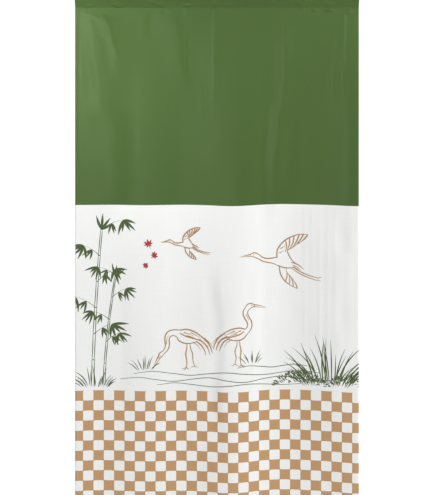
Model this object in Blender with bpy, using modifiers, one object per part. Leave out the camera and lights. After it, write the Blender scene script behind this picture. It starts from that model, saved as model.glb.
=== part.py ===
# Noren: a door curtain of one plain cloth, hung by a rod pocket along its top.
# Metres, +Z up, and the front faces -Y. The origin is the middle of the pocket's top edge, and
# a rod's centre line would run straight below it, along X.

from math import asin, cos, pi, sin

import bmesh
import bpy

# Driving sizes of the curtain
WIDTH = 0.850  # side to side, as it hangs
LENGTH = 1.500  # top of the pocket to the bottom hem
SEAM_DROP = 0.0336  # top of the pocket to the stitches that close it
GREEN_DROP = 0.6237  # top of the pocket to the end of the green
CHECK_DROP = 1.1806  # top of the pocket to the start of the checks
CLOTH = 0.0012  # one layer
HEM_CLOTH = 0.0020  # the face with the hem turned behind it
SIDE_HEM = 0.012
BOTTOM_HEM = 0.020
HEM_STEP = 0.0015  # the slope from the hem's turned edge down to the single layer
SEW_GAP = 0.0003  # between the pocket and the cloth that hangs from it

# The rod pocket's section
CROWN_RADIUS = 0.0085  # inside, where it lies over the rod
NECK = 0.0026  # height of the two layers sewn flat on each other
NECK_SPLIT = 0.0004  # width of the pocket's inside at its lowest point
CROWN_STEPS = 12

# The hanging folds. Each one comes forward (+) or goes back (-) by its depth at its centre line,
# which runs from x_top at the seam to x_hem, and dies out at reach_left and reach_right of it.
# It begins at the drop called start, and has its whole depth from the drop called full.
FOLDS = (
    # x_top, x_hem, reach_left, reach_right, depth, start, full
    (-0.330, -0.341, 0.105, 0.100, -0.0050, 0.3000, 1.150),
    (-0.215, -0.205, 0.080, 0.070, 0.0020, SEAM_DROP, 0.420),
    (-0.105, -0.112, 0.065, 0.070, -0.0020, SEAM_DROP, 0.420),
    (0.050, 0.040, 0.110, 0.105, 0.0116, SEAM_DROP, 0.460),
    (0.205, 0.200, 0.125, 0.150, -0.0098, SEAM_DROP, 0.360),
    (0.425, 0.425, 0.115, 0.050, 0.0128, SEAM_DROP, 0.400),
)
FOLD_LETS_DOWN = 0.32  # how far a fold lowers the cloth, as a share of its depth
FOLD_DRAWS_IN = 0.33  # how far a fold draws the cloth to the middle, per metre out and of depth

# The pocket's own unevenness: how much fuller than its section it stands at places along it
POCKET_SWELLS = (
    # x, reach, fuller
    (-0.300, 0.160, 0.0010),
    (-0.060, 0.110, -0.0006),
    (0.120, 0.100, 0.0007),
    (0.330, 0.090, -0.0005),
)

# How finely the meshes are divided
SHEET_COLUMNS = 46
SHEET_ROWS = 22
POCKET_COLUMNS = 26
CREASE_ANGLE = pi / 5  # edges of the pocket sharper than this are shaded sharp
NEAR = 1e-6  # two places closer than this are the same

# Linear colours, and a roughness for dyed cloth
GREEN = (0.125, 0.205, 0.075)
WHITE = (0.871, 0.863, 0.807)
CHECKS = (0.680, 0.580, 0.450)
MATT = 0.9


def hump(distance, reach):
    """1 at no distance, falling smoothly to 0 at the reach."""
    return 0.5 + 0.5 * cos(pi * min(abs(distance) / reach, 1.0))


def ease(share):
    """0 to 1 with a soft start and end."""
    share = min(max(share, 0.0), 1.0)
    return share * share * (3.0 - 2.0 * share)


def fold_depth(x, drop):
    """How far the cloth stands forward of its plane."""
    total = 0.0
    for x_top, x_hem, reach_left, reach_right, depth, start, full in FOLDS:
        centre = x_top + (x_hem - x_top) * (drop - SEAM_DROP) / (LENGTH - SEAM_DROP)
        reach = reach_left if x < centre else reach_right
        grown = ease((drop - start) / (full - start))
        total += depth * hump(x - centre, reach) * grown
    return total


def hung_point(x, drop):
    """Where a point of the flat cloth's front face hangs."""
    depth = fold_depth(x, drop)
    return (
        x * (1.0 - FOLD_DRAWS_IN * depth),
        -CLOTH - depth,
        -drop - FOLD_LETS_DOWN * depth,
    )


def spaced(stops, count):
    """About count even steps between the first and last stop, with every stop kept."""
    step = (stops[-1] - stops[0]) / count
    places = []
    for low, high in zip(stops, stops[1:]):
        parts = max(1, round((high - low) / step))
        places += [low + (high - low) * i / parts for i in range(parts)]
    return places + [stops[-1]]


def cloth_material(name, colour):
    material = bpy.data.materials.new(name)
    material.use_nodes = True
    shader = material.node_tree.nodes["Principled BSDF"]
    shader.inputs["Base Color"].default_value = (*colour, 1.0)
    shader.inputs["Roughness"].default_value = MATT
    shader.inputs["Metallic"].default_value = 0.0
    return material


def add_object(name, mesh, collection):
    obj = bpy.data.objects.new(name, mesh)
    collection.objects.link(obj)
    return obj


def hanging_cloth(collection, green, white, checks):
    """The cloth below the seam: a grid hung in its folds, thicker along its hems."""
    side = WIDTH / 2
    columns = spaced(
        [-side, -side + SIDE_HEM, -side + SIDE_HEM + HEM_STEP]
        + [side - SIDE_HEM - HEM_STEP, side - SIDE_HEM, side],
        SHEET_COLUMNS,
    )
    drops = spaced(
        [SEAM_DROP + SEW_GAP, GREEN_DROP, CHECK_DROP]
        + [LENGTH - BOTTOM_HEM - HEM_STEP, LENGTH - BOTTOM_HEM, LENGTH],
        SHEET_ROWS,
    )
    mesh = bpy.data.meshes.new("hanging_cloth")
    grid = bmesh.new()
    bmesh.ops.create_grid(
        grid, x_segments=len(columns) - 1, y_segments=len(drops) - 1, size=0.5
    )
    bands = ((GREEN_DROP, 0), (CHECK_DROP, 1), (LENGTH, 2))
    flat = {}
    for vert in grid.verts:
        column = round((vert.co.x + 0.5) * (len(columns) - 1))
        row = round((0.5 - vert.co.y) * (len(drops) - 1))
        flat[vert] = (columns[column], drops[row])
        vert.co = hung_point(*flat[vert])
    for face in grid.faces:
        middle = sum(flat[vert][1] for vert in face.verts) / len(face.verts)
        face.material_index = next(band for end, band in bands if middle < end)
        face.smooth = True
    hem_shares = [
        (
            vert.index,
            abs(x) >= side - SIDE_HEM - NEAR or drop >= LENGTH - BOTTOM_HEM - NEAR,
        )
        for vert, (x, drop) in flat.items()
    ]
    grid.to_mesh(mesh)
    grid.free()
    for material in (green, white, checks):
        mesh.materials.append(material)
    obj = add_object("curtain_cloth", mesh, collection)
    layers = obj.vertex_groups.new(name="layers")
    for index, in_hem in hem_shares:
        layers.add([index], 1.0 if in_hem else CLOTH / HEM_CLOTH, "REPLACE")
    thick = obj.modifiers.new("cloth_thickness", "SOLIDIFY")
    thick.thickness = HEM_CLOTH
    thick.offset = -1.0
    thick.vertex_group = layers.name
    return obj


def pocket_outline(radius, low, half_neck, neck_top):
    """(y, z) points of a drop shape: an arc over the rod, then straight down to its neck."""
    centre = -CROWN_RADIUS - CLOTH
    tip = centre - neck_top
    lean = asin((radius - half_neck) / tip)
    turns = [(pi + 2.0 * lean) * i / CROWN_STEPS - lean for i in range(CROWN_STEPS + 1)]
    points = [(radius * cos(turn), centre + radius * sin(turn)) for turn in turns]
    points.append((-half_neck, neck_top))
    if low < neck_top:
        points.append((-half_neck, low))
        points.append((half_neck, low))
    points.append((half_neck, neck_top))
    return points


def pocket_section_curve():
    """The pocket's section as a flat outline with its inside cut out."""
    curve = bpy.data.curves.new("pocket_section", "CURVE")
    curve.dimensions = "2D"
    curve.fill_mode = "BOTH"
    curve.extrude = WIDTH / 2
    neck_top = -SEAM_DROP + NECK
    outlines = (
        pocket_outline(CROWN_RADIUS + CLOTH, -SEAM_DROP, CLOTH, neck_top),
        pocket_outline(CROWN_RADIUS, neck_top, NECK_SPLIT / 2, neck_top),
    )
    for points in outlines:
        spline = curve.splines.new("POLY")
        spline.points.add(len(points) - 1)
        spline.use_cyclic_u = True
        for point, (y, z) in zip(spline.points, points):
            point.co = (y, z, 0.0, 1.0)
    return curve


def pocket_swell(x):
    return sum(fuller * hump(x - place, reach) for place, reach, fuller in POCKET_SWELLS)


def rod_pocket(collection, green):
    """The pocket: its section drawn out along X, then swollen unevenly between crown and seam."""
    guide = add_object("pocket_section", pocket_section_curve(), collection)
    guide.rotation_euler = (pi / 2, 0.0, pi / 2)
    bpy.context.view_layer.update()
    graph = bpy.context.evaluated_depsgraph_get()
    mesh = bpy.data.meshes.new_from_object(guide.evaluated_get(graph))
    mesh.transform(guide.matrix_world)
    bpy.data.objects.remove(guide)
    tube = bmesh.new()
    tube.from_mesh(mesh)
    bmesh.ops.remove_doubles(tube, verts=tube.verts, dist=NEAR)
    long_edges = [edge for edge in tube.edges if edge.calc_length() > WIDTH / 2]
    bmesh.ops.subdivide_edges(
        tube, edges=long_edges, cuts=POCKET_COLUMNS - 1, use_grid_fill=True
    )
    for vert in tube.verts:
        x, y, z = vert.co
        height = (z + SEAM_DROP) / SEAM_DROP
        fullness = pocket_swell(x) * sin(pi * min(max(height, 0.0), 1.0))
        vert.co.y = y * (1.0 + fullness / (CROWN_RADIUS + CLOTH))
    bmesh.ops.recalc_face_normals(tube, faces=tube.faces)
    tube.to_mesh(mesh)
    tube.free()
    mesh.name = "rod_pocket"
    mesh.materials.clear()
    mesh.materials.append(green)
    mesh.shade_smooth()
    mesh.set_sharp_from_angle(angle=CREASE_ANGLE)
    return add_object("rod_pocket", mesh, collection)


def main():
    for obj in list(bpy.data.objects):
        bpy.data.objects.remove(obj)
    collection = bpy.data.collections.new("noren")
    bpy.context.scene.collection.children.link(collection)
    green = cloth_material("green_cloth", GREEN)
    white = cloth_material("white_cloth", WHITE)
    checks = cloth_material("checked_cloth", CHECKS)
    rod_pocket(collection, green)
    hanging_cloth(collection, green, white, checks)


main()
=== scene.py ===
import math
import random

import bmesh
import bpy
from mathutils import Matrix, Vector, noise


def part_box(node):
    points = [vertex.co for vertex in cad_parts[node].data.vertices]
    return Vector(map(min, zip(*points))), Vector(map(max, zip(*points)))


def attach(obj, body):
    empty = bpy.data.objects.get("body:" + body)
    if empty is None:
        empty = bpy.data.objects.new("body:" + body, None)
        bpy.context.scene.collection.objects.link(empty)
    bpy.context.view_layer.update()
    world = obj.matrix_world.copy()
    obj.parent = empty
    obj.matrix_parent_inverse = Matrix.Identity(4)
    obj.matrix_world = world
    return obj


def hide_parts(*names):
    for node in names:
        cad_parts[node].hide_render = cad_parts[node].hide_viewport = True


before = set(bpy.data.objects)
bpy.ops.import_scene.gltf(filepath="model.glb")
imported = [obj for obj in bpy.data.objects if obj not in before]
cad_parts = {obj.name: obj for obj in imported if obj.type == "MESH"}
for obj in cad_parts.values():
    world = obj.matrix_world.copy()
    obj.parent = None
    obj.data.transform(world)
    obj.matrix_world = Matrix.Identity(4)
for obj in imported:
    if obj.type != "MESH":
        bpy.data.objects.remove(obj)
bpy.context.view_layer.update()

print("frame loaded:", sorted(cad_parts))

# Metres, +Z up, the front faces -Y, and the origin is the middle of the pocket's top edge.
pocketLow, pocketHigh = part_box("rod_pocket")

curtain = {
    "width": pocketHigh.x - pocketLow.x,
    "length": 1.500,
    "seamDrop": -pocketLow.z,  # top edge to the pocket's line of stitches
    "greenDrop": 0.6237,  # top edge to the end of the green
    "checkDrop": 1.1806,  # top edge to the first row of checks
    "checkWide": 0.031,
    "checkHigh": 0.030,
    "checkLeft": 0.0019,  # where a column of checks begins, right of the middle
    "faceY": -0.0012,  # the front face at the seam
    "single": 0.0005,  # one layer of the cloth
    "hemmed": 0.0011,  # the face with the hem turned behind it
    "sideHem": 0.012,
    "bottomHem": 0.020,
    "hemStep": 0.0012,
    "letsDown": 0.32,  # how far a fold lowers the cloth, as a share of its depth
    "drawsIn": 0.33,  # how far it draws the cloth to the middle, per metre out and of depth
    "seamSway": 0.0022,  # about how far the line of stitches wanders up and down
    "swayFades": 0.012,  # and how soon that dies out away from it
    "fineGrows": 0.005,  # below the stitches, creases and tucks reach their whole depth here
    "slack": 0.0007,
    "slackGrows": 0.12,
}
hair = 1e-6  # a difference smaller than this is only rounding

# Main folds: centre line at the seam and at the hem, how far they reach to either side, how far
# they come forward (+) or go back (-), and the drops where they begin and are at their fullest.
mainFolds = [
    # xTop, xHem, reachLeft, reachRight, depth, start, full
    (-0.330, -0.341, 0.105, 0.100, -0.0050, 0.3000, 1.150),
    (-0.215, -0.205, 0.080, 0.070, 0.0020, 0.0336, 0.420),
    (-0.105, -0.112, 0.065, 0.070, -0.0020, 0.0336, 0.420),
    (0.050, 0.040, 0.110, 0.105, 0.0116, 0.0336, 0.460),
    (0.205, 0.200, 0.125, 0.150, -0.0098, 0.0336, 0.360),
    (0.425, 0.425, 0.115, 0.050, 0.0128, 0.0336, 0.400),
]

# Creases: soft ridges (+) and troughs (-) laid down the cloth, through (x, drop) points, with a
# reach to either side, because most rise slowly on one side and fall off on the other.
creases = [
    # depth, reachLeft, reachRight, line
    # left edge: the hem's turn, the broad ridge, and the one that slants away from the corner
    (-0.0009, 0.009, 0.012, [(-0.414, 0.036), (-0.414, 0.640)]),
    (0.0060, 0.038, 0.115, [(-0.374, 0.034), (-0.366, 0.160), (-0.352, 0.310), (-0.345, 0.400)]),
    (0.0060, 0.085, 0.080, [(-0.345, 0.270), (-0.318, 0.460), (-0.300, 0.760)]),
    (0.0032, 0.034, 0.100, [(-0.402, 0.036), (-0.338, 0.080), (-0.298, 0.180), (-0.270, 0.280)]),
    (0.0010, 0.012, 0.016, [(-0.345, 0.040), (-0.318, 0.110), (-0.286, 0.220)]),
    (0.0030, 0.100, 0.060, [(-0.296, 0.300), (-0.290, 0.700)]),
    # left of the middle
    (-0.0014, 0.026, 0.034, [(-0.197, 0.036), (-0.200, 0.140)]),
    (0.0025, 0.070, 0.030, [(-0.124, 0.034), (-0.112, 0.180), (-0.098, 0.320)]),
    (-0.0009, 0.030, 0.060, [(-0.078, 0.100), (-0.076, 0.320)]),
    (0.0005, 0.006, 0.008, [(-0.093, 0.090), (-0.094, 0.270)]),
    (0.0004, 0.012, 0.016, [(-0.150, 0.290), (-0.148, 0.420)]),
    (0.0004, 0.009, 0.010, [(-0.050, 0.250), (-0.046, 0.370)]),
    (0.0005, 0.016, 0.018, [(-0.236, 0.330), (-0.230, 0.520)]),
    # the sharp crease in the middle, on its broad rise from the left
    (0.0015, 0.010, 0.030, [(-0.009, 0.031), (-0.009, 0.200), (-0.012, 0.380)]),
    (0.0007, 0.009, 0.014, [(-0.008, 0.031), (-0.009, 0.150)]),
    (0.0011, 0.046, 0.050, [(-0.006, 0.090), (-0.008, 0.260)]),
    # right of the middle: a ridge that breaks up on its way down
    (0.0022, 0.012, 0.034, [(0.204, 0.060), (0.204, 0.180), (0.196, 0.300), (0.188, 0.400)]),
    (0.0004, 0.007, 0.009, [(0.184, 0.330), (0.180, 0.450)]),
    (0.0005, 0.007, 0.010, [(0.166, 0.320), (0.162, 0.460)]),
    (0.0004, 0.007, 0.009, [(0.146, 0.320), (0.142, 0.450)]),
    (0.0030, 0.044, 0.060, [(0.200, 0.280), (0.184, 0.430), (0.172, 0.550), (0.166, 0.700)]),
    (0.0026, 0.040, 0.060, [(0.184, 0.380), (0.168, 0.740)]),
    (0.0048, 0.050, 0.125, [(0.206, 0.060), (0.200, 0.300), (0.184, 0.460), (0.176, 0.700)]),
    # right edge
    (0.0019, 0.010, 0.010, [(0.379, 0.024), (0.377, 0.310)]),
    (0.0009, 0.010, 0.008, [(0.366, 0.090), (0.364, 0.300)]),
    (0.0014, 0.012, 0.010, [(0.352, 0.100), (0.348, 0.340)]),
    (0.0005, 0.008, 0.008, [(0.337, 0.120), (0.335, 0.330)]),
    (0.0011, 0.026, 0.030, [(0.395, 0.080), (0.397, 1.480)]),
    # where the print begins: the middle fold lies flatter, and the right side stands forward
    (-0.0050, 0.110, 0.105, [(0.048, 0.230), (0.046, 0.950)]),
    (0.0050, 0.140, 0.060, [(0.352, 0.560), (0.352, 1.500)]),
    # lower cloth: the trough beside the middle fold, and fine upright ripples on the right
    (-0.0034, 0.044, 0.036, [(-0.014, 0.760), (-0.010, 1.160), (0.002, 1.310), (0.014, 1.520)]),
    (0.0009, 0.030, 0.034, [(-0.170, 0.600), (-0.160, 0.980)]),
    (-0.0010, 0.034, 0.030, [(-0.290, 0.760), (-0.284, 1.300)]),
    (0.0012, 0.030, 0.034, [(0.118, 0.760), (0.106, 1.440)]),
    (0.0004, 0.009, 0.009, [(0.243, 0.600), (0.240, 0.900)]),
    (0.0005, 0.009, 0.010, [(0.263, 0.600), (0.262, 1.240)]),
    (0.0003, 0.008, 0.009, [(0.285, 0.590), (0.284, 0.880)]),
    (0.0006, 0.010, 0.010, [(0.308, 0.610), (0.305, 1.260)]),
    (0.0005, 0.009, 0.010, [(0.332, 0.620), (0.330, 1.320)]),
    (0.0004, 0.009, 0.009, [(0.354, 0.610), (0.357, 1.140)]),
]
creaseEase = {
    "wander": 0.25,  # how far a crease strays from its line, as a share of its reach to the left
    "wanderScale": 9.0,
    "apart": 31.0,  # so that no two creases stray alike
    "start": 6.0,  # a crease has its whole depth after 1/6 of its length
    "end": 2.4,  # and begins to lose it 1/2.4 of its length before its end
    "peak": 1.3,  # more than 1 makes its crest narrower than its foot
}

# Tucks: small swellings (+) and hollows (-) where the stitches gather the cloth, laid on both
# sides of the seam.
tucks = [
    # x, below (+) or above (-) the stitches, degrees down to the right, half length, half width, depth
    (-0.342, 0.012, 0, 0.056, 0.016, 0.0012),
    (-0.381, -0.005, 15, 0.018, 0.007, 0.0022),
    (-0.300, -0.007, 30, 0.018, 0.007, 0.0026),
    (-0.322, -0.015, 10, 0.022, 0.006, -0.0012),
    (-0.172, -0.009, 22, 0.030, 0.007, 0.0030),
    (-0.200, -0.018, 16, 0.024, 0.006, 0.0018),
    (-0.140, 0.008, 60, 0.014, 0.010, 0.0010),
    (-0.160, 0.012, 80, 0.014, 0.008, -0.0008),
    (-0.088, -0.006, 0, 0.018, 0.007, 0.0028),
    (-0.084, -0.016, 10, 0.026, 0.007, -0.0016),
    (-0.090, 0.010, 85, 0.016, 0.010, 0.0009),
    (-0.006, -0.012, 70, 0.018, 0.010, 0.0024),
    (0.040, -0.006, 15, 0.030, 0.007, 0.0010),
    (0.246, -0.013, 40, 0.020, 0.008, 0.0020),
    (0.258, 0.004, 60, 0.012, 0.007, 0.0024),
    (0.292, 0.005, 20, 0.013, 0.006, 0.0024),
    (0.334, 0.005, 8, 0.024, 0.006, 0.0030),
    (0.330, 0.014, 0, 0.026, 0.007, -0.0010),
    (0.394, 0.004, 15, 0.016, 0.006, 0.0028),
    (0.394, 0.014, 12, 0.014, 0.006, 0.0020),
    (0.330, -0.013, 5, 0.034, 0.008, 0.0018),
]


def hump(distance, reach):
    return 0.5 + 0.5 * math.cos(math.pi * min(abs(distance) / reach, 1.0))


def ease(share):
    share = min(max(share, 0.0), 1.0)
    return share * share * (3.0 - 2.0 * share)


def foldDepth(x, drop):
    total = 0.0
    seam = curtain["seamDrop"]
    for xTop, xHem, reachLeft, reachRight, depth, start, full in mainFolds:
        centre = xTop + (xHem - xTop) * (drop - seam) / (curtain["length"] - seam)
        reach = reachLeft if x < centre else reachRight
        total += depth * hump(x - centre, reach) * ease((drop - start) / (full - start))
    return total


def creaseDepth(x, drop):
    total = 0.0
    for depth, reachLeft, reachRight, line in creases:
        along = (drop - line[0][1]) / (line[-1][1] - line[0][1])
        if not 0.0 <= along < 1.0:
            continue
        for (xFrom, dropFrom), (xTo, dropTo) in zip(line, line[1:]):
            if drop < dropTo:
                break
        centre = xFrom + (xTo - xFrom) * ease((drop - dropFrom) / (dropTo - dropFrom))
        bends = (drop * creaseEase["wanderScale"], line[0][0] * creaseEase["apart"], 0.0)
        distance = x - centre - creaseEase["wander"] * reachLeft * noise.noise(bends)
        reach = reachLeft if distance < 0.0 else reachRight
        if abs(distance) < reach:
            fade = ease(along * creaseEase["start"]) * ease((1.0 - along) * creaseEase["end"])
            total += depth * fade * hump(distance, reach) ** creaseEase["peak"]
    return total


def tuckDepth(x, below):
    total = 0.0
    for atX, atBelow, turn, long, wide, depth in tucks:
        across, down = math.cos(math.radians(turn)), math.sin(math.radians(turn))
        dx, dy = x - atX, below - atBelow
        along, beside = dx * across + dy * down, dy * across - dx * down
        if abs(along) < long and abs(beside) < wide:
            total += depth * hump(along, long) * hump(beside, wide)
    return total


# The waves of slack cloth: how close they are across and down, which of the noise's waves they
# are, and their share. Those of a sewn line are the same without the way down.
slackWaves = [(9.0, 1.6, 7.0, 1.0), (26.0, 3.0, 11.0, 0.5)]
sewnWaves = [(17.0, 21.0, 1.0), (44.0, 25.0, 0.6)]


# The faint unevenness of cloth that hangs free.
def slackDepth(x, drop):
    soft = sum(
        share * noise.noise((x * across, drop * down, which))
        for across, down, which, share in slackWaves
    )
    return curtain["slack"] * soft * ease((drop - curtain["seamDrop"]) / curtain["slackGrows"])


# How far the line of stitches, and the cloth near it, wanders up and down.
def seamSway(x, away):
    sway = sum(share * noise.noise((x * across, which, 0.0)) for across, which, share in sewnWaves)
    return curtain["seamSway"] * sway * math.exp(-abs(away) / curtain["swayFades"])


# Where a point of the cloth's front face hangs, below the seam.
def hungPoint(x, drop):
    below = drop - curtain["seamDrop"]
    main = foldDepth(x, drop)
    fine = creaseDepth(x, drop) + slackDepth(x, drop) + tuckDepth(x, below)
    return Vector((
        x * (1.0 - curtain["drawsIn"] * main),
        curtain["faceY"] - main - fine * ease(below / curtain["fineGrows"]),
        -drop - curtain["letsDown"] * main + seamSway(x, below),
    ))


pocket = {
    "radius": 0.0095,  # over the rod, to the cloth's outside
    "centreDrop": 0.0097,
    "backY": -0.0001,  # the back layer's outside at the stitches
    "turnedEdge": 0.004,  # how far the back layer runs on below the stitches
    "turnedOff": 0.0002,  # and how far it stands off there
    "turnSteps": 26,
    "wallSteps": 8,
    "fuller": [  # x, reach, how much fuller than round
        (-0.300, 0.160, 0.0010),
        (-0.060, 0.110, -0.0006),
        (0.120, 0.100, 0.0007),
        (0.330, 0.090, -0.0005),
    ],
}


# (y, z) points of the pocket's outside from the front of the seam, over the rod, to its back.
def pocketOutline():
    centre = Vector((0.0, -pocket["centreDrop"]))
    front = Vector((curtain["faceY"], -curtain["seamDrop"]))
    back = Vector((pocket["backY"], -curtain["seamDrop"]))
    turns = []
    for foot, side in ((front, -1.0), (back, 1.0)):
        away = foot - centre
        facing = math.atan2(away.y, away.x)
        turns.append(facing + side * math.acos(pocket["radius"] / away.length))
    start, end = turns[0] % math.tau, turns[1] % math.tau
    if end > start:
        end -= math.tau
    steps, walls = pocket["turnSteps"], pocket["wallSteps"]
    arc = [start + (end - start) * i / steps for i in range(steps + 1)]
    over = [centre + pocket["radius"] * Vector((math.cos(a), math.sin(a))) for a in arc]
    rise = [front.lerp(over[0], i / walls) for i in range(walls)]
    fall = [over[-1].lerp(back, i / walls) for i in range(1, walls + 1)]
    turned = [back + Vector((pocket["turnedOff"], -pocket["turnedEdge"] * i / 2)) for i in (1, 2)]
    return rise + over + fall + turned


# Where a point of the pocket's outside lies. Along is the way from the stitches, over the rod.
def pocketPoint(x, outline, along):
    seam = curtain["seamDrop"]
    height = min(max((outline.y + seam) / seam, 0.0), 1.0)
    facing = -1.0 if outline.x < 0.0 else 1.0
    fuller = sum(more * hump(x - at, reach) for at, reach, more in pocket["fuller"])
    push = tuckDepth(x, -along) * (1.0 - height) if facing < 0.0 else 0.0
    swell = 1.0 + fuller * math.sin(math.pi * height) / pocket["radius"]
    return Vector((x, outline.x * swell - push, outline.y + seamSway(x, outline.y + seam)))


# Places from the first stop to the last, each stop kept, with a step size for each gap.
def spaced(stops, steps):
    places = []
    for low, high, step in zip(stops, stops[1:], steps):
        parts = max(1, math.ceil((high - low) / step - hair))
        places += [low + (high - low) * i / parts for i in range(parts)]
    return places + [stops[-1]]


# An sRGB hex value as the linear colour that a shader takes.
def srgb(hexCode):
    channels = [int(hexCode[i : i + 2], 16) / 255 for i in (1, 3, 5)]
    linear = [c / 12.92 if c <= 0.04045 else ((c + 0.055) / 1.055) ** 2.4 for c in channels]
    return (*linear, 1.0)


# Adds a shader node, fills its sockets with values or links, and gives back one of its outputs.
def addNode(tree, kind, values=None, out=0, **settings):
    node = tree.nodes.new("ShaderNode" + kind)
    for name, setting in settings.items():
        setattr(node, name, setting)
    for socket, value in (values or {}).items():
        if isinstance(value, bpy.types.NodeSocket):
            tree.links.new(value, node.inputs[socket])
        else:
            node.inputs[socket].default_value = value
    return node.outputs[out]


def newMaterial(name, **sockets):
    material = bpy.data.materials.new(name)
    material.use_nodes = True
    shader = material.node_tree.nodes["Principled BSDF"]
    for socket, value in sockets.items():
        shader.inputs[socket.replace("_", " ")].default_value = value
    return material, material.node_tree, shader


# Polyester and cotton plain weave, pressed, dyed and printed on the face. Pressing leaves the
# yarns a soft gloss, which lays a pale veil on the green where a lamp is mirrored. The back is
# unprinted, so the dye only shows through there, paler.
dyes = {
    "face": {"green": "#445B2C", "white": "#E9EAE8", "tan": "#B99166"},
    "back": {"green": "#87A06F", "white": "#E6E6E1", "tan": "#D0B999"},
}
weave = {
    # real yarns lie 0.4 mm apart, too fine to show, so they are drawn this coarse
    "yarn": 0.0016,
    "yarnHigh": 0.35,  # against the height of a slub
    "relief": 0.12,
    "reliefHigh": 0.0004,
    "slubWide": 0.0024,
    "slubLong": 0.070,
    "slubShade": 0.06,
    "slubRough": 0.10,
    "cloudScale": 6.0,
    "cloudShade": 0.04,
    "bleed": 0.0007,  # how far the dye creeps along the yarns at an edge
    "bleedScale": 900.0,
    "spread": 0.012,  # how much the tan checks outgrow the white ones: 0.1 mm, and 1 mm at a corner
    "gloss": 0.37,
    "glossGreen": (0.73, 1.00, 0.56, 1.0),  # the dye is in the fibres, and colours their gloss
    "roughness": 0.50,
}


# A Mix of colours takes them at its sockets 6 and 7 and gives one at its output 2.
colourMix = {"out": 2, "data_type": "RGBA"}


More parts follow.
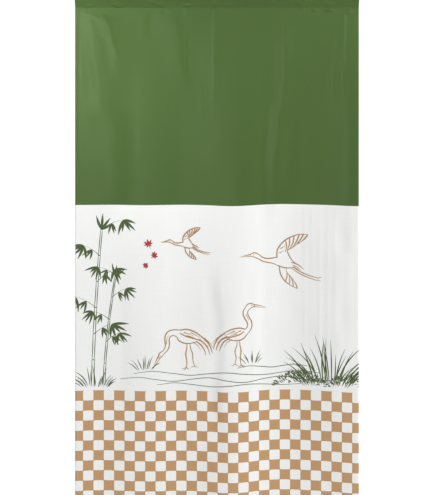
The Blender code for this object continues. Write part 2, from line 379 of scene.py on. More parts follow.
def clothMaterial(name, dye, hemDye):
    material, tree, shader = newMaterial(name, Specular_IOR_Level=weave["gloss"])
    place = addNode(tree, "UVMap", uv_map="cloth")  # metres across and down the flat cloth
    creep = addNode(tree, "TexNoise", {
        "Vector": place, "Scale": weave["bleedScale"], "Detail": 2.0,
    }, out="Color")
    # the noise is about 0.5, so that the dye creeps as far one way as the other
    shift = addNode(tree, "VectorMath", {0: creep, 1: (0.5, 0.5, 0.5)}, operation="SUBTRACT")
    crept = addNode(tree, "VectorMath", {0: shift, "Scale": weave["bleed"]}, operation="SCALE")
    inked = addNode(tree, "VectorMath", {0: place, 1: crept}, operation="ADD")
    drop = addNode(tree, "SeparateXYZ", {0: inked}, out="Y")
    inGreen = addNode(tree, "Math", {0: drop, 1: curtain["greenDrop"]}, operation="LESS_THAN")
    inChecks = addNode(tree, "Math", {0: drop, 1: curtain["checkDrop"]}, operation="GREATER_THAN")
    # the checks: two waves multiplied, cut off a little low, so that the tan meets at its corners
    waves = []
    for axis, size, start in (
        ("X", curtain["checkWide"], curtain["checkLeft"]),
        ("Y", curtain["checkHigh"], curtain["checkDrop"]),
    ):
        way = addNode(tree, "SeparateXYZ", {0: inked}, out=axis)
        turn = addNode(tree, "Math", {
            0: way, 1: math.pi / size, 2: -math.pi * start / size,
        }, operation="MULTIPLY_ADD")
        waves.append(addNode(tree, "Math", {0: turn}, operation="SINE"))
    chequer = addNode(tree, "Math", {0: waves[0], 1: waves[1]}, operation="MULTIPLY")
    inTan = addNode(tree, "Math", {0: chequer, 1: -weave["spread"]}, operation="GREATER_THAN")

    def printed(colours):
        green, white, tan = (srgb(colours[part]) for part in ("green", "white", "tan"))
        checked = addNode(tree, "Mix", {0: inTan, 6: white, 7: tan}, **colourMix)
        lower = addNode(tree, "Mix", {0: inChecks, 6: white, 7: checked}, **colourMix)
        return addNode(tree, "Mix", {0: inGreen, 6: lower, 7: green}, **colourMix)

    colour = printed(dye)
    if hemDye:  # the turned hems show their printed face
        across = addNode(tree, "SeparateXYZ", {0: place}, out="X")
        out = addNode(tree, "Math", {0: across}, operation="ABSOLUTE")
        innerEdge = curtain["width"] / 2 - curtain["sideHem"]
        inSide = addNode(tree, "Math", {0: out, 1: innerEdge}, operation="GREATER_THAN")
        upperEdge = curtain["length"] - curtain["bottomHem"]
        inFoot = addNode(tree, "Math", {0: drop, 1: upperEdge}, operation="GREATER_THAN")
        inHem = addNode(tree, "Math", {0: inSide, 1: inFoot}, operation="MAXIMUM")
        colour = addNode(tree, "Mix", {0: inHem, 6: colour, 7: printed(hemDye)}, **colourMix)
    # slubs: yarns a little thicker or thinner for part of their length, down and across
    slubs = []
    for wide, long in ((weave["slubWide"], weave["slubLong"]), (weave["slubLong"], weave["slubWide"])):
        stretched = addNode(tree, "Mapping", {"Vector": place, "Scale": (1.0 / wide, 1.0 / long, 1.0)})
        slubs.append(addNode(tree, "TexNoise", {"Vector": stretched, "Scale": 1.0, "Detail": 2.0}))
    slub = addNode(tree, "Math", {0: slubs[0], 1: slubs[1]}, operation="ADD")  # about 1
    # clouds: the dye took a little more here and less there, about 0.5
    cloud = addNode(tree, "TexNoise", {"Vector": place, "Scale": weave["cloudScale"], "Detail": 3.0})
    even = 1.0 - weave["slubShade"] - weave["cloudShade"] / 2
    tone = addNode(tree, "Math", {0: slub, 1: weave["slubShade"], 2: even}, operation="MULTIPLY_ADD")
    tone = addNode(tree, "Math", {0: cloud, 1: weave["cloudShade"], 2: tone}, operation="MULTIPLY_ADD")
    grey = addNode(tree, "CombineColor", {0: tone, 1: tone, 2: tone})
    colour = addNode(tree, "Mix", {0: 1.0, 6: colour, 7: grey}, **colourMix, blend_type="MULTIPLY")
    tree.links.new(colour, shader.inputs["Base Color"])
    untinted = (1.0, 1.0, 1.0, 1.0)
    tint = addNode(tree, "Mix", {0: inGreen, 6: untinted, 7: weave["glossGreen"]}, **colourMix)
    tree.links.new(tint, shader.inputs["Specular Tint"])
    rough = addNode(tree, "Math", {
        0: slub, 1: weave["slubRough"], 2: weave["roughness"] - weave["slubRough"],
    }, operation="MULTIPLY_ADD")
    tree.links.new(rough, shader.inputs["Roughness"])
    # plain weave: yarns over and under each other in turn
    ridges = []
    for axis in ("X", "Y"):
        way = addNode(tree, "SeparateXYZ", {0: place}, out=axis)
        turn = addNode(tree, "Math", {0: way, 1: math.pi / weave["yarn"]}, operation="MULTIPLY")
        ridges.append(addNode(tree, "Math", {0: turn}, operation="SINE"))
    overUnder = addNode(tree, "Math", {0: ridges[0], 1: ridges[1]}, operation="MULTIPLY")
    height = addNode(tree, "Math", {
        0: overUnder, 1: weave["yarnHigh"], 2: slub,
    }, operation="MULTIPLY_ADD")
    bump = addNode(tree, "Bump", {
        "Strength": weave["relief"], "Distance": weave["reliefHigh"], "Height": height,
    })
    tree.links.new(bump, shader.inputs["Normal"])
    return material


def makeObject(name, mesh):
    piece = bpy.data.objects.new(name, mesh)
    bpy.context.scene.collection.objects.link(piece)
    return piece


# How far apart the sheet's columns and rows lie: closer where the cloth curves more.
grid = {
    "columns": 0.0033,
    "hemColumns": 0.004,
    "tuckRows": 0.0025,
    "tucksReach": 0.030,  # below the seam
    "upperRows": 0.0070,
    "upperEnds": 0.240,
    "rows": 0.0140,
    "hemRows": 0.005,
}


# The whole cloth as one sheet: turned edge, pocket, seam and hanging length.
def makeCloth():
    side = curtain["width"] / 2
    hem, step = curtain["sideHem"], curtain["hemStep"]
    columns = spaced(
        [-side, -side + hem, -side + hem + step, side - hem - step, side - hem, side],
        [grid["hemColumns"], step, grid["columns"], step, grid["hemColumns"]],
    )
    outline = pocketOutline()
    seam, foot = curtain["seamDrop"], curtain["length"] - curtain["bottomHem"]
    drops = spaced(
        [seam, seam + grid["tucksReach"], grid["upperEnds"], foot - step, foot, curtain["length"]],
        [grid["tuckRows"], grid["upperRows"], grid["rows"], step, grid["hemRows"]],
    )
    ups = list(reversed(outline[1:]))
    lengths = [0.0]
    for low, high in zip(outline, outline[1:]):
        lengths.append(lengths[-1] + (high - low).length)
    upLengths = list(reversed(lengths[1:]))
    rows = len(ups) + len(drops)
    sheet = bmesh.new()
    bmesh.ops.create_grid(sheet, x_segments=len(columns) - 1, y_segments=rows - 1, size=0.5)
    uvLayer = sheet.loops.layers.uv.new("cloth")
    groups = sheet.verts.layers.deform.verify()
    flat = {}
    for vert in sheet.verts:
        x = columns[round((vert.co.x + 0.5) * (len(columns) - 1))]
        row = round((0.5 - vert.co.y) * (rows - 1))
        if row < len(ups):
            vert.co = pocketPoint(x, ups[row], upLengths[row])
            flat[vert] = (x, seam - upLengths[row])
        else:
            drop = drops[row - len(ups)]
            vert.co = hungPoint(x, drop)
            flat[vert] = (x, drop)
        inHem = abs(x) > side - hem - hair or flat[vert][1] > foot - hair
        vert[groups][0] = 1.0 if inHem else curtain["single"] / curtain["hemmed"]
    for face in sheet.faces:
        face.smooth = True
        for loop in face.loops:
            loop[uvLayer].uv = flat[loop.vert]
    mesh = bpy.data.meshes.new("noren_cloth")
    sheet.to_mesh(mesh)
    sheet.free()
    piece = makeObject("noren_cloth", mesh)
    piece.vertex_groups.new(name="layers")
    mesh.materials.append(clothMaterial("printed_plain_weave_face", dyes["face"], None))
    mesh.materials.append(clothMaterial("printed_plain_weave_back", dyes["back"], dyes["face"]))
    thick = piece.modifiers.new("cloth_thickness", "SOLIDIFY")
    thick.thickness = curtain["hemmed"]
    thick.offset = -1.0
    thick.vertex_group = "layers"
    thick.material_offset = 1
    length = lengths[-1] + curtain["length"] - seam
    print("cloth:", len(mesh.vertices), "points,", len(mesh.polygons), "faces, path", round(length, 4))
    return piece, length


cloth, pathLength = makeCloth()
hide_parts("rod_pocket", "curtain_cloth")
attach(cloth, "root")

# The print: brush-drawn cranes, bamboo, water plants and maple leaves of this script's own design.
# A motif is a list of strokes: the brush's width in mm, how it is pressed, and the points it
# passes in mm, +x right and +y up. The functions that draw plants are in mm and degrees too.
craneStanding = [
    # head and beak
    (2.6, "line", [(13, 150), (20, 158), (29, 159), (37, 154)]),
    (2.8, "flick", [(36, 155), (50, 152), (66, 146)]),
    (2.2, "flick", [(33, 150), (48, 148), (66, 145)]),
    (2.2, "line", [(37, 154), (34, 150), (27, 147)]),
    (3.2, "dot", [(28.5, 153.5), (30.5, 153)]),
    # neck
    (3.0, "line", [(13, 150), (7, 138), (10, 124), (17, 112), (19, 101), (13, 93)]),
    (2.6, "line", [(27, 147), (19, 138), (22, 125), (29, 112), (30, 99), (25, 88), (17, 79)]),
    (2.0, "flick", [(15, 132), (18, 124), (23, 115)]),
    # back, breast and belly
    (3.2, "brush", [(13, 93), (-2, 97), (-22, 94), (-40, 85), (-54, 73)]),
    (2.8, "brush", [(17, 79), (8, 69), (-6, 65), (-22, 66), (-36, 70)]),
    # folded wing and its feathers
    (3.0, "brush", [(10, 88), (-2, 80), (-20, 75), (-40, 71), (-60, 58)]),
    (2.4, "flick", [(2, 90), (-12, 85), (-26, 81)]),
    (2.4, "flick", [(-14, 90), (-28, 84), (-42, 77)]),
    (2.2, "flick", [(-8, 82), (-20, 79), (-32, 75)]),
    (3.4, "brush", [(-40, 84), (-56, 72), (-67, 54), (-70, 42)]),
    (3.2, "brush", [(-34, 76), (-50, 66), (-60, 50), (-63, 38)]),
    (3.0, "brush", [(-28, 71), (-42, 62), (-51, 48), (-54, 36)]),
    (2.4, "flick", [(-48, 80), (-64, 66), (-76, 52)]),
    (2.2, "flick", [(-22, 68), (-34, 60), (-43, 47)]),
    # legs and feet
    (2.6, "line", [(-2, 66), (-1, 52), (2, 37), (0, 20), (2, 1)]),
    (2.2, "line", [(-9, 65), (-9, 52), (-14, 37), (-11, 20), (-14, 4)]),
    (3.2, "dot", [(1, 36), (3, 38)]),
    (3.0, "dot", [(-13, 36), (-15, 38)]),
    (2.2, "flick", [(2, 1), (9, -2), (16, -3)]),
    (2.0, "flick", [(2, 1), (7, -5), (11, -7)]),
    (2.0, "flick", [(2, 1), (-3, -3), (-8, -3)]),
    (2.0, "flick", [(-14, 4), (-8, 1), (-3, 1)]),
    (1.8, "flick", [(-14, 4), (-20, 0), (-25, 0)]),
]

craneFeeding = [
    # head at the ground and beak
    (2.6, "line", [(-58, 44), (-66, 40), (-70, 32), (-68, 26)]),
    (2.8, "flick", [(-70, 31), (-77, 17), (-83, 2)]),
    (2.2, "flick", [(-65, 27), (-74, 14), (-83, 2)]),
    (2.2, "line", [(-66, 26), (-61, 30), (-57, 35)]),
    (3.2, "dot", [(-65, 33), (-66, 31.5)]),
    # neck, curved down
    (3.0, "line", [(-58, 44), (-52, 56), (-53, 70), (-52, 84), (-44, 95), (-30, 99), (-14, 98)]),
    (2.6, "line", [(-57, 35), (-45, 48), (-41, 62), (-42, 74), (-38, 82), (-30, 84), (-22, 80)]),
    (2.0, "flick", [(-49, 62), (-48, 74), (-43, 86)]),
    # back, breast and belly
    (3.2, "brush", [(-14, 98), (4, 100), (24, 94), (42, 82), (56, 68)]),
    (2.8, "brush", [(-22, 80), (-16, 70), (-2, 64), (14, 64), (30, 68)]),
    # folded wing and its feathers
    (3.0, "brush", [(-14, 90), (2, 82), (20, 77), (40, 71), (60, 56)]),
    (2.4, "flick", [(-4, 92), (10, 88), (24, 83)]),
    (2.4, "flick", [(14, 92), (28, 85), (42, 77)]),
    (2.2, "flick", [(4, 84), (18, 80), (32, 74)]),
    (3.4, "brush", [(42, 82), (56, 71), (66, 55), (71, 40)]),
    (3.2, "brush", [(36, 75), (50, 64), (60, 50), (64, 36)]),
    (3.0, "brush", [(28, 70), (41, 60), (50, 47), (54, 34)]),
    (2.4, "flick", [(50, 78), (64, 66), (76, 50)]),
    (2.2, "flick", [(20, 67), (32, 59), (41, 46)]),
    # legs and feet
    (2.6, "line", [(4, 64), (4, 50), (1, 36), (4, 18), (3, 1)]),
    (2.2, "line", [(12, 64), (14, 50), (19, 37), (20, 20), (24, 5)]),
    (3.2, "dot", [(1, 35), (2, 37)]),
    (3.0, "dot", [(18, 36), (19, 38)]),
    (2.2, "flick", [(3, 1), (-4, -2), (-11, -3)]),
    (2.0, "flick", [(3, 1), (-1, -5), (-5, -8)]),
    (2.0, "flick", [(3, 1), (8, -3), (13, -3)]),
    (2.0, "flick", [(24, 5), (18, 2), (13, 2)]),
    (1.8, "flick", [(24, 5), (30, 2), (35, 2)]),
]

craneFlying = [
    # head, beak and stretched neck, facing left
    (2.8, "flick", [(-88, 16), (-102, 12), (-118, 6)]),
    (2.2, "flick", [(-87, 11), (-102, 9), (-118, 5)]),
    (2.6, "line", [(-88, 16), (-82, 21), (-73, 21), (-64, 17)]),
    (3.2, "dot", [(-80, 16), (-78, 16)]),
    (3.0, "line", [(-64, 17), (-52, 10), (-38, 8), (-24, 11), (-10, 15)]),
    (2.6, "line", [(-87, 11), (-76, 9), (-64, 5), (-50, -1), (-36, -3), (-22, -4), (-8, -8)]),
    # belly, tail and trailing legs
    (2.8, "brush", [(-8, -8), (10, -12), (28, -11), (42, -6)]),
    (2.8, "brush", [(30, 6), (44, 4), (58, -2), (68, -9)]),
    (2.4, "flick", [(36, -2), (50, -6), (62, -13)]),
    (2.4, "flick", [(40, -8), (52, -11), (60, -17)]),
    (2.4, "line", [(38, -8), (64, -18), (92, -24), (112, -26)]),
    (2.2, "line", [(32, -10), (60, -23), (88, -30), (108, -33)]),
    (1.8, "flick", [(112, -26), (119, -23), (124, -24)]),
    (1.8, "flick", [(108, -33), (116, -32), (121, -35)]),
    # raised near wing: its front edge, then the long feathers
    (3.2, "brush", [(-12, 14), (-14, 34), (-4, 56), (14, 74), (40, 88), (66, 92)]),
    (3.2, "brush", [(66, 92), (58, 78), (47, 66)]),
    (3.0, "brush", [(54, 92), (47, 74), (37, 58)]),
    (3.0, "brush", [(42, 88), (37, 68), (29, 50)]),
    (2.8, "brush", [(28, 82), (27, 62), (21, 44)]),
    (2.8, "brush", [(16, 74), (18, 56), (14, 38)]),
    (2.6, "brush", [(6, 64), (11, 48), (9, 32)]),
    (2.6, "brush", [(47, 66), (42, 62), (37, 58)]),
    (2.4, "line", [(37, 58), (33, 53), (29, 50), (25, 46), (21, 44), (17, 40), (14, 38)]),
    (2.6, "brush", [(14, 38), (20, 26), (30, 14), (42, 6)]),
    (2.2, "flick", [(-6, 40), (2, 46), (8, 54)]),
    (2.2, "flick", [(-8, 28), (0, 32), (6, 38)]),
    # far wing, swept low behind
    (2.8, "brush", [(-2, -9), (4, -30), (18, -48), (38, -60), (58, -66)]),
    (2.6, "brush", [(58, -66), (52, -54), (44, -44)]),
    (2.6, "brush", [(46, -62), (42, -48), (36, -37)]),
    (2.4, "brush", [(34, -57), (33, -43), (29, -31)]),
    (2.4, "brush", [(22, -50), (24, -37), (22, -25)]),
    (2.2, "brush", [(44, -44), (36, -37), (29, -31), (22, -25), (18, -13)]),
]

mapleLeaf = [
    (7.0, "blade", [(0, 0), (0, 8), (0, 17)]),
    (6.0, "blade", [(0, 0), (6, 6), (12, 12)]),
    (6.0, "blade", [(0, 0), (-6, 6), (-12, 12)]),
    (5.0, "blade", [(0, 0), (7, 1), (14, 2)]),
    (5.0, "blade", [(0, 0), (-7, 1), (-14, 2)]),
    (3.6, "blade", [(0, 0), (4, -4), (8, -7)]),
    (3.6, "blade", [(0, 0), (-4, -4), (-8, -7)]),
    (1.4, "line", [(0, 0), (1, -7), (3, -13)]),
]

# how full the brush is, from the stroke's start (0) to its end (1)
touches = {
    "line": lambda t: 0.62 + 0.38 * math.sin(math.pi * t),
    "brush": lambda t: 0.35 + 0.65 * math.sin(math.pi * min(1.0, t * 0.75 + 0.25)),
    "flick": lambda t: 1.0 - 0.85 * t,
    "blade": lambda t: 0.10 + 0.90 * math.sin(math.pi * min(t**0.8, 0.97)),
    "dot": lambda t: 1.0,
}


# A motif's strokes, moved to a place on the cloth.
def placed(motif, at, scale=1.0, turn=0.0):
    across, up = math.cos(math.radians(turn)), math.sin(math.radians(turn))
    moved = []
    for width, touch, points in motif:
        moved.append((width, touch, [
            (at[0] + scale * (x * across - y * up), at[1] + scale * (x * up + y * across))
            for x, y in points
        ]))
    return moved


# Points of a stroke that sets out at a heading in degrees and turns by curl on its way.
def bent(start, heading, length, curl, steps=4):
    points = [start]
    x, y = start
    for i in range(steps):
        angle = math.radians(heading + curl * (i + 0.5) / steps)
        x += math.cos(angle) * length / steps
        y += math.sin(angle) * length / steps
        points.append((x, y))
    return points


# For the plants, a pair without a comment is the least and the most of a chance value.
fan = {
    "apart": 30,
    "sway": (-7, 7),
    "long": (0.75, 1.1),
    "droop": 0.35,
    "curl": (-10, 10),
    "wide": 0.16,
}


def leafFan(at, heading, size, count, chance):
    strokes = []
    for i in range(count):
        spread = (i - (count - 1) / 2) * fan["apart"] + chance.uniform(*fan["sway"])
        length = size * chance.uniform(*fan["long"])
        curl = -spread * fan["droop"] + chance.uniform(*fan["curl"])
        strokes.append((size * fan["wide"], "blade", bent(at, heading + spread, length, curl)))
    return strokes


bamboo = {
    "bend": 1.6,  # more than 1 leaves the foot upright and leans the tip
    "taper": 0.35,
    "waist": 0.86,  # width halfway between two rings, as a share of that at the rings
    "gap": 2,  # from a ring to the lines beside it
    "ring": (1.3, -0.6, 0.8),  # how wide, and how high at its ends and its middle
    "strokes": (2.2, 2.6, 1.9),  # line, ring and twig
    "twigTurn": (38, 55),
    "twigLong": (45, 75),
    "twigCurl": 30,
    "fans": [(-1, (20, 45), 1.0, 5), (2, (5, 40), 0.8, 3)],  # twig's point, turn, size, leaves
    "tipFan": (70, 4),  # heading, leaves
}


# A culm of two lines with a ring at each joint, and a leafy twig to each side in turn.
def bambooStem(base, height, lean, joints, width, leafSize, chance):
    strokes = []
    lineStroke, ringStroke, twigStroke = bamboo["strokes"]

    def at(share):
        return base[0] + lean * share ** bamboo["bend"], base[1] + height * share

    for j in range(joints):
        low, high = j / joints, (j + 1) / joints
        foot, middle, top = at(low), at((low + high) / 2), at(high)
        half = width / 2 * (1 - bamboo["taper"] * low)
        for side in (-half, half):
            strokes.append((lineStroke, "line", [
                (foot[0] + side, foot[1] + bamboo["gap"]),
                (middle[0] + side * bamboo["waist"], middle[1]),
                (top[0] + side, top[1] - bamboo["gap"]),
            ]))
        wide, ends, crest = bamboo["ring"]
        strokes.append((ringStroke, "line", [
            (top[0] - half * wide, top[1] + ends),
            (top[0], top[1] + crest),
            (top[0] + half * wide, top[1] + ends),
        ]))
        if j == 0:
            continue
        side = 1 if j % 2 else -1
        turn = side * chance.uniform(*bamboo["twigTurn"])
        twig = bent(top, 90 - turn, chance.uniform(*bamboo["twigLong"]), -side * bamboo["twigCurl"])
        strokes.append((twigStroke, "flick", twig))
        for point, turns, share, leaves in bamboo["fans"]:
            heading = -90 + side * chance.uniform(*turns)
            strokes += leafFan(twig[point], heading, leafSize * share, leaves, chance)
    heading, leaves = bamboo["tipFan"]
    return strokes + leafFan(at(1.0), heading, leafSize, leaves, chance)


clump = {
    "place": (0.1, 0.9),
    "uneven": (-3, 3),
    "shorter": 0.25,  # how much shorter the outer blades are
    "curl": 55,
    "curlSway": (-25, 25),
    "lean": 34,
    "leanSway": (-9, 9),
    "press": (0.75, 1.15),
    "steps": 5,
}


# Long leaves that stand up out of the ground and lean away from the middle.
def bladeClump(base, width, count, low, high, stroke, chance):
    strokes = []
    for i in range(count):
        share = (i + chance.uniform(*clump["place"])) / count
        side = (share - 0.5) * 2
        foot = (base[0] + (share - 0.5) * width, base[1] + chance.uniform(*clump["uneven"]))
        length = chance.uniform(low, high) * (1 - clump["shorter"] * abs(side))
        curl = -side * clump["curl"] + chance.uniform(*clump["curlSway"])
        heading = 90 - side * clump["lean"] + chance.uniform(*clump["leanSway"])
        line = bent(foot, heading, length, curl, clump["steps"])
        strokes.append((stroke * chance.uniform(*clump["press"]), "blade", line))
    return strokes


mound = {
    "rise": (0.02, 1),
    "lean": 70,
    "leanSway": (-35, 35),
    "long": (9, 16),
    "curl": (-50, 50),
    "stroke": (2.0, 3.2),
    "steps": 3,
}


# A low bush of short leaves under a round outline.
def leafyMound(base, width, height, count, chance):
    strokes = []
    for i in range(count):
        across = chance.uniform(-1, 1)
        rise = math.sqrt(chance.uniform(*mound["rise"])) * math.sqrt(max(0.0, 1 - across * across))
        foot = (base[0] + across * width / 2, base[1] + rise * height)
        heading = 90 - across * mound["lean"] + chance.uniform(*mound["leanSway"])
        length, curl = chance.uniform(*mound["long"]), chance.uniform(*mound["curl"])
        line = bent(foot, heading, length, curl, mound["steps"])
        strokes.append((chance.uniform(*mound["stroke"]), "blade", line))
    return strokes


def ripple(start, length, height, turns, width):
    count = int(turns * 4)
    points = []
    for i in range(count + 1):
        share = i / count
        sway = height * math.sin(math.tau * turns * share) * (1 - 0.3 * share)
        points.append((start[0] + length * share, start[1] + sway))
    return (width, "line", points)


# Every stroke of the print by colour, in mm from the curtain's middle and top edge.
def drawPrint():
    chance = random.Random(11)
    green = bambooStem((-372, -1168), 470, 26, 6, 8, 46, chance)
    green += bambooStem((-338, -1166), 330, 34, 5, 6, 38, chance)
    green += bladeClump((-366, -1170), 90, 16, 30, 70, 2.8, chance)
    green.append(ripple((-250, -1128), 560, 7, 2.5, 2.0))
    green.append(ripple((-290, -1146), 640, 7, 3, 2.0))
    green.append(ripple((-180, -1162), 430, 5, 2, 2.0))
    green.append(ripple((60, -1108), 210, 5, 1.5, 2.0))
    green += bladeClump((330, -1165), 150, 34, 80, 170, 3.4, chance)
    green += leafyMound((250, -1170), 150, 40, 120, chance)
    green += leafyMound((385, -1168), 90, 34, 70, chance)
    green += bladeClump((-215, -1118), 50, 9, 30, 60, 2.4, chance)
    green += bladeClump((105, -1096), 40, 8, 25, 50, 2.2, chance)
    tan = placed(craneStanding, (70, -1100), 1.15)
    tan += placed(craneFeeding, (-95, -1112), 1.15)
    tan += placed(craneFlying, (190, -800), 1.05, -8)
    tan += placed(craneFlying, (-95, -745), 0.62, -4)
    red = placed(mapleLeaf, (-205, -742), 1.0, 15)
    red += placed(mapleLeaf, (-190, -775), 0.8, -60)
    red += placed(mapleLeaf, (-212, -803), 0.65, 130)
    return {"green": green, "tan": tan, "red": red}


# The value at a share of the way from b to c, on a smooth curve through a, b, c and d.
def between(a, b, c, d, share):
    straight, bend, twist = c - a, 2 * a - 5 * b + 4 * c - d, 3 * b - a - 3 * c + d
    return 0.5 * (2 * b + straight * share + bend * share**2 + twist * share**3)


# A smooth line through a stroke's points, with a point about every span.
def smoothLine(points, span):
    if len(points) == 2:
        points = [points[0], tuple((a + b) / 2 for a, b in zip(*points)), points[1]]
    first = tuple(2 * a - b for a, b in zip(points[0], points[1]))
    last = tuple(2 * a - b for a, b in zip(points[-1], points[-2]))
    knots = [first, *points, last]
    line = []
    for four in zip(knots, knots[1:], knots[2:], knots[3:]):
        steps = max(2, round(math.dist(four[1], four[2]) / span))
        for i in range(steps):
            line.append(tuple(between(*values, i / steps) for values in zip(*four)))
    return line + [points[-1]]


# Pigment paste pressed into the weave: matt, and a little uneven where a yarn took less of it.
ink = {
    "inMetre": 1000,  # mm
    "span": 4.0,  # mm between the points of a stroke's line
    "proud": 0.00022,  # m that the print's faces stand off the cloth
    "edgeGap": 0.0004,  # m that the front's print ends short of the cloth's sides
    "press": {"green": 1.08, "tan": 1.3, "red": 1.05},  # how wide the brush is pressed
    "front": {"green": "#3C5016", "tan": "#A47A48", "red": "#A4142A"},
    "back": {"green": "#B4BCA6", "tan": "#D8C8B2", "red": "#DBA6AA"},
    "missed": 0.08,  # most of the cloth's white that shows through
    "missedScale": 420.0,
}


def inkMaterial(name, hexCode):
    material, tree, shader = newMaterial(name, Roughness=0.70, Specular_IOR_Level=0.20)
    place = addNode(tree, "TexCoord", out="Object")
    patchy = addNode(tree, "TexNoise", {"Vector": place, "Scale": ink["missedScale"], "Detail": 3.0})
    thin = addNode(tree, "Math", {0: patchy, 1: ink["missed"]}, operation="MULTIPLY")
    white = srgb(dyes["face"]["white"])
    colour = addNode(tree, "Mix", {0: thin, 6: srgb(hexCode), 7: white}, **colourMix)
    tree.links.new(colour, shader.inputs["Base Color"])
    return material


# The mesh that a curve and its bevel make.
def curveMesh(name, lines):
    drawn = makeObject(name, lines)
    bpy.context.view_layer.update()
    mesh = bpy.data.meshes.new_from_object(drawn.evaluated_get(bpy.context.evaluated_depsgraph_get()))
    bpy.data.objects.remove(drawn)
    return mesh


# Strokes as flat ribbons: lines swept with a level edge, cut at the cloth's edges and laid on it.
def makeInk(name, strokes, hexCode, press, behind):
    level = bpy.data.curves.new("brush_edge", "CURVE")
    edge = level.splines.new("POLY")
    edge.points.add(1)
    edge.points[0].co = (-0.5, 0.0, 0.0, 1.0)
    edge.points[1].co = (0.5, 0.0, 0.0, 1.0)
    brush = makeObject("brush_edge", level)
    lines = bpy.data.curves.new(name, "CURVE")
    lines.dimensions = "2D"
    lines.bevel_mode = "OBJECT"
    lines.bevel_object = brush
    for width, touch, points in strokes:
        line = smoothLine(points, ink["span"])
        spline = lines.splines.new("POLY")
        spline.points.add(len(line) - 1)
        for i, (x, y) in enumerate(line):
            spline.points[i].co = (x / ink["inMetre"], y / ink["inMetre"], 0.0, 1.0)
            pressed = touches[touch](i / (len(line) - 1))
            spline.points[i].radius = press * width / ink["inMetre"] * pressed
    mesh = curveMesh(name + "_lines", lines)
    bpy.data.objects.remove(brush)
    ribbons = bmesh.new()
    ribbons.from_mesh(mesh)
    short = curtain["sideHem"] + curtain["hemStep"] if behind else ink["edgeGap"]
    side = curtain["width"] / 2 - short
    for direction in (-1.0, 1.0):
        everything = list(ribbons.verts) + list(ribbons.edges) + list(ribbons.faces)
        bmesh.ops.bisect_plane(
            ribbons, geom=everything, plane_co=(side * direction, 0.0, 0.0),
            plane_no=(direction, 0.0, 0.0), clear_outer=True,
        )
    depth = curtain["single"] + ink["proud"] if behind else -ink["proud"]
    for vert in ribbons.verts:
        vert.co = hungPoint(vert.co.x, -vert.co.y) + Vector((0.0, depth, 0.0))
    ribbons.normal_update()
    facing = sum(face.normal.y * face.calc_area() for face in ribbons.faces)
    if (facing > 0.0) != behind:
        bmesh.ops.reverse_faces(ribbons, faces=ribbons.faces)
    for face in ribbons.faces:
        face.smooth = True
    ribbons.to_mesh(mesh)
    ribbons.free()
    mesh.materials.clear()
    mesh.materials.append(inkMaterial(name, hexCode))
    piece = makeObject(name, mesh)
    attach(piece, "root")
    return piece


for colour, strokes in drawPrint().items():
    press = ink["press"][colour]
    makeInk("print_" + colour, strokes, ink["front"][colour], press, False)
    makeInk("print_through_" + colour, strokes, ink["back"][colour], press, True)

# Polyester sewing thread, in the cloth's own colours: round, with a soft gloss along its top.
thread = {
    "pitch": 0.0032,
    "long": 0.0025,
    "thick": 0.00042,
    "thinEnd": 0.7,  # how thick a stitch's ends are, as a share of its middle
    "rise": 0.00010,  # how far the middle of a stitch stands off the cloth
    "sink": 0.00016,  # how far its ends go into it
    "fromTurn": 0.0022,  # the hems' stitches from their turned edges
    "fromSide": 0.001,  # rows across from the cloth's sides
    "fromSeam": 0.002,  # rows down from the pocket's stitches
    "green": "#4C6B33",
    "white": "#E4E3DC",
    "plyScale": 2500.0,
    # painted shade between the plies and painted highlight on them, as shares of the yarn's colour
    "plyPaintedShade": (0.82, 1.12),
}


# Rows of lockstitches. A row is a function from the way along it to a place on the cloth, its
# two ends, and the side that it lies on: -1 in front and 1 behind.
def makeStitches(name, rows, hexCode):
    lines = bpy.data.curves.new(name, "CURVE")
    lines.dimensions = "3D"
    lines.bevel_depth = thread["thick"] / 2
    lines.bevel_resolution = 1
    lines.use_fill_caps = True
    for placeAt, start, end, side in rows:
        for i in range(int((end - start) / thread["pitch"])):
            middle = start + (i + 0.5) * thread["pitch"]
            spline = lines.splines.new("POLY")
            spline.points.add(2)
            for point, share in zip(spline.points, (-0.5, 0.0, 0.5)):
                away = thread["rise"] if share == 0.0 else -thread["sink"]
                place = placeAt(middle + share * thread["long"]) + Vector((0.0, side * away, 0.0))
                point.co = (*place, 1.0)
                point.radius = 1.0 if share == 0.0 else thread["thinEnd"]
    mesh = curveMesh(name + "_lines", lines)
    mesh.shade_smooth()
    mesh.materials.clear()
    material, tree, shader = newMaterial(name, Roughness=0.45, Sheen_Weight=0.1)
    place = addNode(tree, "TexCoord", out="Object")
    # painted shade and highlight of the plies: a noise darkens and lightens the yarn's colour, because
    # the tube itself is smooth
    plies = addNode(tree, "TexNoise", {"Vector": place, "Scale": thread["plyScale"], "Detail": 2.0})
    dark, light = thread["plyPaintedShade"]
    shade = addNode(tree, "MapRange", {"Value": plies, "To Min": dark, "To Max": light})
    grey = addNode(tree, "CombineColor", {0: shade, 1: shade, 2: shade})
    yarn = srgb(hexCode)
    colour = addNode(tree, "Mix", {0: 1.0, 6: yarn, 7: grey}, **colourMix, blend_type="MULTIPLY")
    tree.links.new(colour, shader.inputs["Base Color"])
    mesh.materials.append(material)
    piece = makeObject(name, mesh)
    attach(piece, "root")
    return piece


def rowDown(x, offset):
    return lambda drop: hungPoint(x, drop) + offset


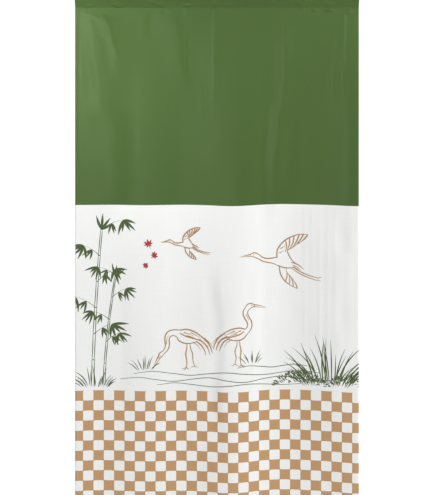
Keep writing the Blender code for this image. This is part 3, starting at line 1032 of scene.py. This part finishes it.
def sewCurtain():
    side, seam, green = curtain["width"] / 2, curtain["seamDrop"], curtain["greenDrop"]
    hemX = side - curtain["sideHem"] + thread["fromTurn"]
    hemDrop = curtain["length"] - curtain["bottomHem"] + thread["fromTurn"]
    behind = Vector((0.0, curtain["hemmed"], 0.0))
    ends = -side + thread["fromSide"], side - thread["fromSide"]
    pocketRows = [
        (lambda x: Vector((x, curtain["faceY"], seamSway(x, 0.0) - seam)), *ends, -1),
        (lambda x: Vector((x, pocket["backY"], seamSway(x, 0.0) - seam)), *ends, 1),
    ]
    upper, lower = [], []
    for at in (-hemX, hemX):
        for offset, face in ((Vector(), -1), (behind, 1)):
            down = rowDown(at, offset)
            upper.append((down, seam + thread["fromSeam"], green, face))
            lower.append((down, green, hemDrop, face))
    lower.append((lambda x: hungPoint(x, hemDrop), *ends, -1))
    lower.append((lambda x: hungPoint(x, hemDrop) + behind, *ends, 1))
    return [
        makeStitches("pocket_stitches", pocketRows, thread["green"]),
        makeStitches("hem_stitches_in_green", upper, thread["green"]),
        makeStitches("hem_stitches_in_white", lower, thread["white"]),
    ]


sewing = sewCurtain()
print("stitches:", sum(len(p.data.polygons) for p in sewing), "faces")


studio = {
    "cameraAt": (0.0015, -3.0, -0.751),
    "frameHigh": 1.4828,  # how much of the curtain's height the view takes in
    "fill": 0.35,  # the room's strength as a light
    "seen": 1.08,  # and to the camera, just over the lightest white
    "lamps": [
        # name, place, what it is aimed at, size, how wide it spreads in degrees, power
        ("near_left", (-1.00, -0.80, 0.33), (-0.42, 0.0, -0.17), 0.5, 46, 0.80),
        ("near_right", (0.90, -0.85, 0.40), (0.36, 0.0, -0.03), 0.5, 38, 0.22),
        ("upper_left", (-1.60, -4.00, 0.25), (0.0, 0.0, -0.75), 1.4, 180, 76.5),
        ("right", (6.20, -2.70, 0.20), (0.0, 0.0, -0.75), 2.0, 180, 310.0),
        ("behind", (1.80, 2.60, 0.30), (0.0, 0.0, -0.75), 1.6, 180, 45.0),
    ],
    "floorDrop": 2.05,
    "floorReach": 2.4,
    "floorFades": 1.0,  # from here out it fades into the white room
    "floorSides": 96,
    "floorColour": "#E9E8E4",
}


def makeStudio():
    scene = bpy.context.scene
    lens = bpy.data.cameras.new("camera")
    lens.sensor_width = 36.0
    reach = abs(studio["cameraAt"][1]) + curtain["faceY"]
    lens.lens = lens.sensor_width * reach / studio["frameHigh"]
    camera = bpy.data.objects.new("camera", lens)
    camera.location = studio["cameraAt"]
    camera.rotation_euler = (math.pi / 2, 0.0, 0.0)
    scene.collection.objects.link(camera)
    scene.camera = camera
    scene.view_settings.view_transform = "Standard"

    # the room is seen as white, and lights the curtain less than a white room would
    world = bpy.data.worlds.new("white_room")
    world.use_nodes = True
    scene.world = world
    tree = world.node_tree
    white = (1.0, 1.0, 1.0, 1.0)
    dim = addNode(tree, "Background", {"Color": white, "Strength": studio["fill"]})
    bright = addNode(tree, "Background", {"Color": white, "Strength": studio["seen"]})
    seen = addNode(tree, "LightPath", out="Is Camera Ray")
    both = addNode(tree, "MixShader", {0: seen, 1: dim, 2: bright})
    tree.links.new(both, tree.nodes["World Output"].inputs["Surface"])

    for name, place, target, size, spread, power in studio["lamps"]:
        lamp = bpy.data.lights.new(name, "AREA")
        lamp.shape = "DISK"
        lamp.size = size
        lamp.spread = math.radians(spread)
        lamp.energy = power
        light = bpy.data.objects.new(name, lamp)
        light.location = place
        light.rotation_euler = (Vector(target) - Vector(place)).to_track_quat("-Z", "Y").to_euler()
        scene.collection.objects.link(light)

    ground = bmesh.new()
    bmesh.ops.create_circle(
        ground, cap_ends=True, segments=studio["floorSides"], radius=studio["floorReach"],
    )
    bmesh.ops.translate(ground, verts=ground.verts, vec=(0.0, 0.0, -studio["floorDrop"]))
    mesh = bpy.data.meshes.new("pale_floor")
    ground.to_mesh(mesh)
    ground.free()
    floor = makeObject("pale_floor", mesh)
    paint = srgb(studio["floorColour"])
    material, tree, shader = newMaterial("pale_painted_floor", Roughness=0.8, Base_Color=paint)
    place = addNode(tree, "TexCoord", out="Object")
    level = addNode(tree, "VectorMath", {0: place, 1: (1.0, 1.0, 0.0)}, operation="MULTIPLY")
    out = addNode(tree, "VectorMath", {0: level}, out="Value", operation="LENGTH")
    faded = addNode(tree, "MapRange", {
        "Value": out, "From Min": studio["floorFades"], "From Max": studio["floorReach"],
    }, interpolation_type="SMOOTHSTEP")
    gone = addNode(tree, "BsdfTransparent")
    mixed = addNode(tree, "MixShader", {0: faded, 1: shader.outputs[0], 2: gone})
    tree.links.new(mixed, tree.nodes["Material Output"].inputs["Surface"])
    mesh.materials.append(material)


makeStudio()
print("studio set")
